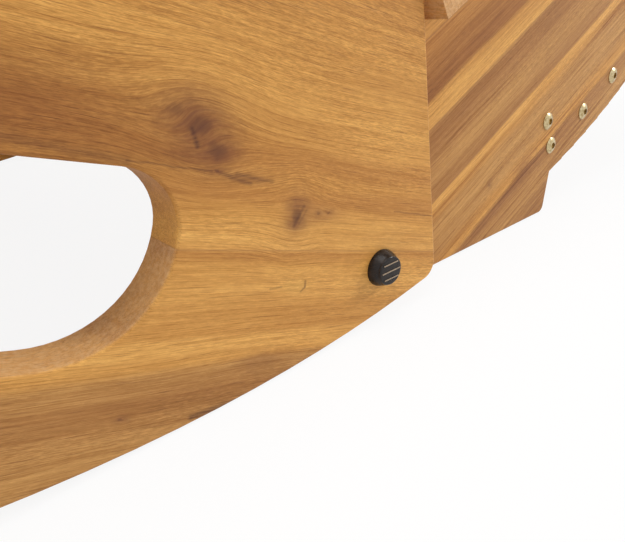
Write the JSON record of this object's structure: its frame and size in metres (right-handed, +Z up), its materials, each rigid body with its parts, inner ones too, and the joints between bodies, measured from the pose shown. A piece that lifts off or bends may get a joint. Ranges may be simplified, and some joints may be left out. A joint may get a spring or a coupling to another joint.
{
  "type": "rocking lounger",
  "caption": "Wooden rocking lounger with curved side panels, hand slots and a slatted deck; the back half folds onto the leg half and leans on two stop pins when open.",
  "frame": {"origin": "on the floor, at the middle of the parked lounger's outline", "axes": "+X towards the head end, +Z up, Y across, with the pictured side towards -Y"},
  "size_m": [1.5127, 0.7782, 0.5314],
  "materials": {
    "oiled_wood": "oiled satin",
    "zinc_steel": "zinc plated",
    "black_plastic": "satin moulded",
    "nylon": "plain"
  },
  "bodies": {
    "leg_frame": {"foot_rail": "oiled_wood", "foot_rail_bolts": "zinc_steel", "foot_rail_nuts": "zinc_steel", "leg_panel_left": "oiled_wood", "leg_panel_right": "oiled_wood", "leg_slat_01": "oiled_wood", "leg_slat_02": "oiled_wood", "leg_slat_03": "oiled_wood", "leg_slat_04": "oiled_wood", "leg_slat_05": "oiled_wood", "leg_slat_06": "oiled_wood", "leg_slat_07": "oiled_wood", "leg_slat_08": "oiled_wood", "leg_slat_09": "oiled_wood", "leg_slat_10": "oiled_wood", "leg_slat_11": "oiled_wood", "pivot_bolt_left": "zinc_steel", "pivot_bolt_right": "zinc_steel", "pivot_nut_left": "zinc_steel", "pivot_nut_right": "zinc_steel", "pivot_spacer_left": "nylon", "pivot_spacer_right": "nylon", "pivot_washer_left": "zinc_steel", "pivot_washer_right": "zinc_steel", "stop_bar": "zinc_steel", "stop_bar_cap_left": "black_plastic", "stop_bar_cap_right": "black_plastic"},
    "back_frame": {"back_panel_left": "oiled_wood", "back_panel_right": "oiled_wood", "back_rail_bolts": "zinc_steel", "back_rail_nuts": "zinc_steel", "back_runner_left": "oiled_wood", "back_runner_right": "oiled_wood", "back_slat_01": "oiled_wood", "back_slat_02": "oiled_wood", "back_slat_03": "oiled_wood", "back_slat_04": "oiled_wood", "back_slat_05": "oiled_wood", "back_slat_06": "oiled_wood", "back_slat_07": "oiled_wood", "back_slat_08": "oiled_wood", "back_slat_09": "oiled_wood", "back_slat_10": "oiled_wood", "back_slat_11": "oiled_wood", "head_rail": "oiled_wood", "hip_rail": "oiled_wood", "mid_rail": "oiled_wood", "runner_bolts": "zinc_steel", "runner_nuts": "zinc_steel"}
  },
  "joints": [
    {"name": "back_fold", "type": "hinge", "parent": "leg_frame", "child": "back_frame", "pos_m": [0.00784, 0, 0.22702], "axis": [0, -1, 0], "range_deg": [0, 130]}
  ]
}
